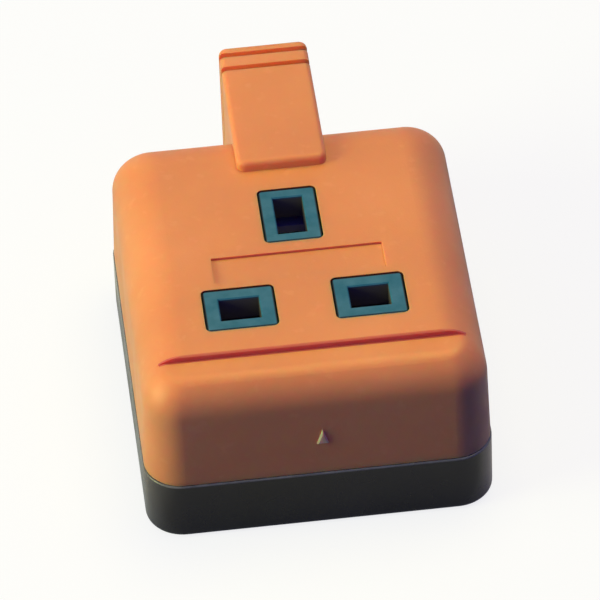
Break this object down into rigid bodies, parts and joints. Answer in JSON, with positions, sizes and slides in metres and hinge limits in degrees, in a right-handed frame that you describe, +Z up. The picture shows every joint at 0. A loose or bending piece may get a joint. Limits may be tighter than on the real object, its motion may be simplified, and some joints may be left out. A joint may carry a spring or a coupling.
{
  "type": "trailing socket",
  "caption": "Free-standing three-pin mains extension socket with a sloped-edge cover, shuttered pin apertures and a cord entry tongue.",
  "frame": {"origin": "centre of the outline, on the surface that the base stands on", "axes": "+Z up out of the socket face, +Y along the object towards the cord entry, +X to the right with the cord entry away from the viewer"},
  "size_m": [0.06, 0.0846, 0.0362],
  "materials": {
    "cover_plastic": "satin moulded",
    "base_plastic": "fine moulded grain",
    "insert_plastic": "smooth moulded",
    "shutter_plastic": "smooth moulded",
    "retainer_plastic": "moulded",
    "clamp_plastic": "moulded",
    "spring_steel": "bright",
    "contact_brass": "rolled",
    "terminal_brass": "turned",
    "screw_brass": "turned",
    "screw_steel": "zinc plated"
  },
  "bodies": {
    "root": {"top_cover": "cover_plastic", "base": "base_plastic", "socket_insert": "insert_plastic", "shutter_retainer": "retainer_plastic", "shutter_spring": "spring_steel", "line_contact": "contact_brass", "neutral_contact": "contact_brass", "earth_contact": "contact_brass", "line_contact_band": "spring_steel", "neutral_contact_band": "spring_steel", "earth_contact_band": "spring_steel", "line_terminal": "terminal_brass", "neutral_terminal": "terminal_brass", "earth_terminal": "terminal_brass", "contact_fixing_screws": "screw_steel", "insert_screws": "screw_steel", "case_screws": "screw_steel", "case_bushes": "terminal_brass"},
    "shutter": {"shutter": "shutter_plastic"},
    "line_screw": {"line_terminal_screw": "screw_brass"},
    "neutral_screw": {"neutral_terminal_screw": "screw_brass"},
    "earth_screw": {"earth_terminal_screw": "screw_brass"},
    "cord_clamp": {"cord_clamp_bar": "clamp_plastic", "cord_clamp_screws": "screw_steel"}
  },
  "joints": [
    {"name": "shutter_slide", "type": "slide", "parent": "root", "child": "shutter", "axis": [0, -1, 0], "range_m": [0, 0.006], "stiffness_N_per_m": 120, "springref_m": -0.004, "deforming": ["shutter_spring"]},
    {"name": "line_screw_travel", "type": "slide", "parent": "root", "child": "line_screw", "axis": [0, 0, 1], "range_m": [0, 0.0032]},
    {"name": "neutral_screw_travel", "type": "slide", "parent": "root", "child": "neutral_screw", "axis": [0, 0, 1], "range_m": [0, 0.0032]},
    {"name": "earth_screw_travel", "type": "slide", "parent": "root", "child": "earth_screw", "axis": [0, 0, 1], "range_m": [0, 0.0032]},
    {"name": "cord_clamp_lift", "type": "slide", "parent": "root", "child": "cord_clamp", "axis": [0, 0, 1], "range_m": [0, 0.004]}
  ]
}
